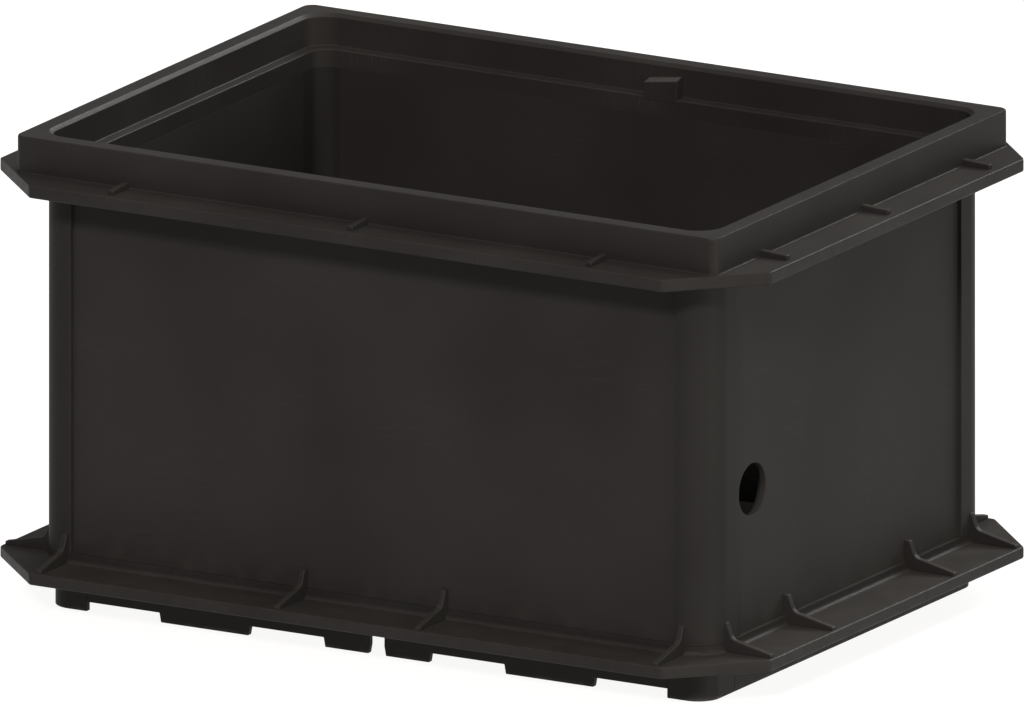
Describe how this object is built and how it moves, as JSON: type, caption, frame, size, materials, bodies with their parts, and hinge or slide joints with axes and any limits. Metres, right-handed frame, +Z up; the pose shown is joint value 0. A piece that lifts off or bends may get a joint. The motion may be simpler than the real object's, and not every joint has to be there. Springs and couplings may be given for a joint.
{
  "type": "stacking crate",
  "caption": "Open rectangular plastic stacking crate with flanged rim and base, corner posts and a round port in one end wall.",
  "frame": {"origin": "on the ground under the middle of the crate", "axes": "+X along the long sides towards the end with the port, +Y towards the rear side with the key, +Z up"},
  "size_m": [0.4, 0.3, 0.22],
  "materials": {
    "frame_plastic": "fine moulded grain, matt",
    "wall_plastic": "fine moulded grain, matt",
    "floor_plastic": "fine moulded grain, scuffed",
    "ring_plastic": "matt, worn at the feet"
  },
  "bodies": {
    "root": {"base_frame": "frame_plastic", "base_gussets_front": "frame_plastic", "base_gussets_left": "frame_plastic", "base_gussets_rear": "frame_plastic", "base_gussets_right": "frame_plastic", "floor_panel": "floor_plastic", "foot_front_left": "ring_plastic", "foot_front_right": "ring_plastic", "foot_rear_left": "ring_plastic", "foot_rear_right": "ring_plastic", "front_panel": "wall_plastic", "front_tab_rail": "ring_plastic", "left_end_panel": "wall_plastic", "left_rail": "ring_plastic", "post_front_left": "wall_plastic", "post_front_right": "wall_plastic", "post_rear_left": "wall_plastic", "post_rear_right": "wall_plastic", "rear_key": "frame_plastic", "rear_panel": "wall_plastic", "rear_tab_rail": "ring_plastic", "right_end_panel": "wall_plastic", "right_rail": "ring_plastic", "rim_frame": "frame_plastic", "rim_ribs_front": "frame_plastic", "rim_ribs_left": "frame_plastic", "rim_ribs_rear": "frame_plastic", "rim_ribs_right": "frame_plastic"}
  },
  "joints": []
}
